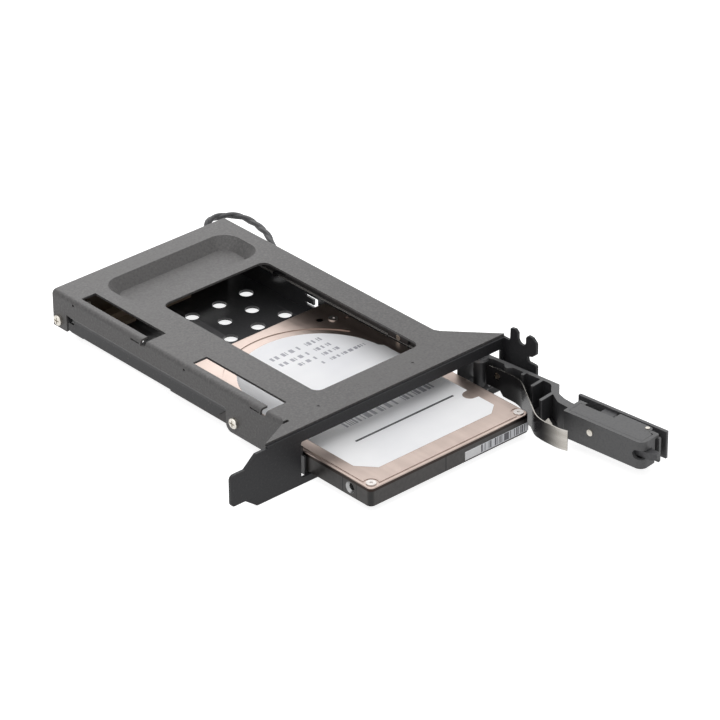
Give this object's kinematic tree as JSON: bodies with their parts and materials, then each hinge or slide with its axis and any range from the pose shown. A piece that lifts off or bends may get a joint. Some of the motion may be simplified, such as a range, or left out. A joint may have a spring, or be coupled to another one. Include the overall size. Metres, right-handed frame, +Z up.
{
  "type": "drive carrier",
  "caption": "Expansion-slot drive bay: vented sheet-metal housing on a slot bracket, hinged latching door with a leaf spring, loaded slim drive and a looped signal wire.",
  "frame": {"origin": "level of the tip of the slot bracket's tongue, on the bracket's outside face and its lower edge", "axes": "+X along the bracket from tongue to screw tab, +Y into the computer case, +Z up from the tray to the cover"},
  "size_m": [0.123, 0.2185, 0.025],
  "materials": {
    "cover_paint": "fine textured dark grey paint",
    "bracket_paint": "black paint",
    "tray_paint": "satin black paint",
    "screw_steel": "plated steel",
    "spring_steel": "bright rolled steel",
    "board_laminate": "circuit board",
    "socket_plastic": "black moulding",
    "header_plastic": "pale moulding",
    "wire_jacket": "soft dark grey insulation",
    "grommet_rubber": "black rubber",
    "door_plastic": "dark grey moulding",
    "latch_plastic": "dark grey moulding",
    "drive_casting": "dark cast metal",
    "drive_lid": "satin pressed metal",
    "drive_screw_steel": "bright steel"
  },
  "bodies": {
    "bay": {"top_cover": "cover_paint", "slot_bracket": "bracket_paint", "bottom_tray": "tray_paint", "side_screws": "screw_steel", "side_spacers": "tray_paint", "backplane_board": "board_laminate", "drive_socket": "socket_plastic", "data_port": "socket_plastic", "power_port": "socket_plastic", "board_screws": "screw_steel", "wire_header": "header_plastic", "signal_wire": "wire_jacket", "wire_grommet": "grommet_rubber", "hinge_bracket": "tray_paint", "hinge_pin": "screw_steel"},
    "door": {"door_frame": "door_plastic", "latch_cover": "door_plastic", "latch_spring": "screw_steel", "leaf_spring": "spring_steel", "spring_rivet": "spring_steel", "lever_pin": "screw_steel", "guide_pin": "screw_steel"},
    "lever": {"latch_lever": "latch_plastic"},
    "bolt": {"latch_bolt": "latch_plastic"},
    "drive": {"drive_base": "drive_casting", "drive_cover": "drive_lid", "drive_screws": "drive_screw_steel", "drive_board": "board_laminate", "drive_connector": "socket_plastic"}
  },
  "joints": [
    {"name": "door_hinge", "type": "hinge", "parent": "bay", "child": "door", "pos_m": [0.1099, 0.0022, 0.009], "axis": [0, 0, -1], "range_deg": [0, 96.5], "deforming": ["leaf_spring"]},
    {"name": "lever_pivot", "type": "hinge", "parent": "door", "child": "lever", "pos_m": [0.11904, -0.06651, 0.009], "axis": [0, 0, -1], "range_deg": [0, 18], "stiffness_Nm_per_rad": 0.02},
    {"name": "bolt_slide", "type": "slide", "parent": "door", "child": "bolt", "axis": [-0.1132, 0.9936, 0], "range_m": [0, 0.0018], "deforming": ["latch_spring"]},
    {"name": "drive_slide", "type": "slide", "parent": "bay", "child": "drive", "axis": [0, 1, 0], "range_m": [0, 0.0444]}
  ],
  "couplings": [
    {"joint": "drive_slide", "follows": "door_hinge", "m_per_rad": 0.026303},
    {"joint": "bolt_slide", "follows": "lever_pivot", "m_per_rad": 0.0057}
  ]
}
